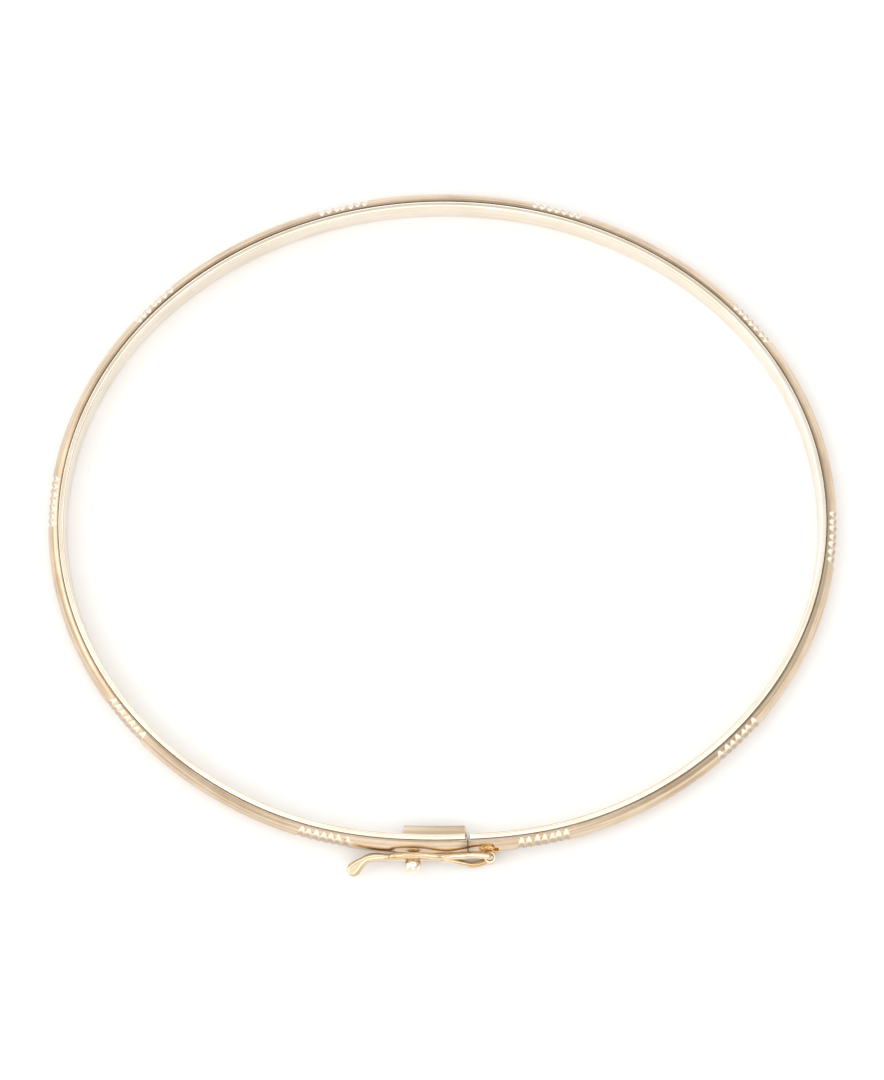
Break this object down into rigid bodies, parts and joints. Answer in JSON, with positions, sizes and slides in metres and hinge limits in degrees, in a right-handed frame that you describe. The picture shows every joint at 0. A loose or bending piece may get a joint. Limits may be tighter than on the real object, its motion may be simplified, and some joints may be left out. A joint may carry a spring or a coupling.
{
  "type": "bangle bracelet",
  "caption": "Oval hollow gold bangle with cut bands on a domed face, a press-tab tongue clasp and a figure-eight safety catch.",
  "frame": {"origin": "middle of the bounding box's bottom face, at the rim that the ring rests on", "axes": "+Z along the ring's axis, +X along its long inner diameter, -Y towards the clasp"},
  "size_m": [0.063, 0.0552, 0.003],
  "materials": {
    "gold_polished": "polished yellow gold",
    "gold_satin": "drawn, softly polished yellow gold",
    "solder": "rough gold solder"
  },
  "bodies": {
    "receiver_half": {"channel_receiver": "gold_polished", "dome_receiver": "gold_satin", "mouth_plate": "gold_polished", "stud_post": "gold_polished", "stud_ball": "gold_polished"},
    "tongue_half": {"channel_tongue": "gold_polished", "dome_tongue": "gold_satin", "end_plug": "gold_polished", "tongue_blade": "gold_polished", "knuckle_saddle": "solder", "knuckle_tube": "gold_polished", "saddle_solder": "solder"},
    "tongue_spring": {"spring_leaf": "gold_polished", "press_tab": "gold_satin"},
    "safety": {"safety_wire": "gold_polished", "thumb_lift": "gold_polished"}
  },
  "joints": [
    {"name": "flex_open", "type": "hinge", "parent": "receiver_half", "child": "tongue_half", "pos_m": [0, 0.02763, 0.0015], "axis": [0, 0, 1], "range_deg": [0, 18], "stiffness_Nm_per_rad": 0.4},
    {"name": "safety_swing", "type": "hinge", "parent": "tongue_half", "child": "safety", "pos_m": [0.00337, -0.02633, 0.0015], "axis": [0, 0, 1], "range_deg": [0, 144]},
    {"name": "tongue_press", "type": "hinge", "parent": "tongue_half", "child": "tongue_spring", "pos_m": [-0.00475, -0.02492, 0.0015], "axis": [0, 0, -1], "range_deg": [0, 2.3], "stiffness_Nm_per_rad": 0.02}
  ],
  "couplings": [
    {"joint": "safety_swing", "follows": "flex_open", "ratio": 8}
  ]
}
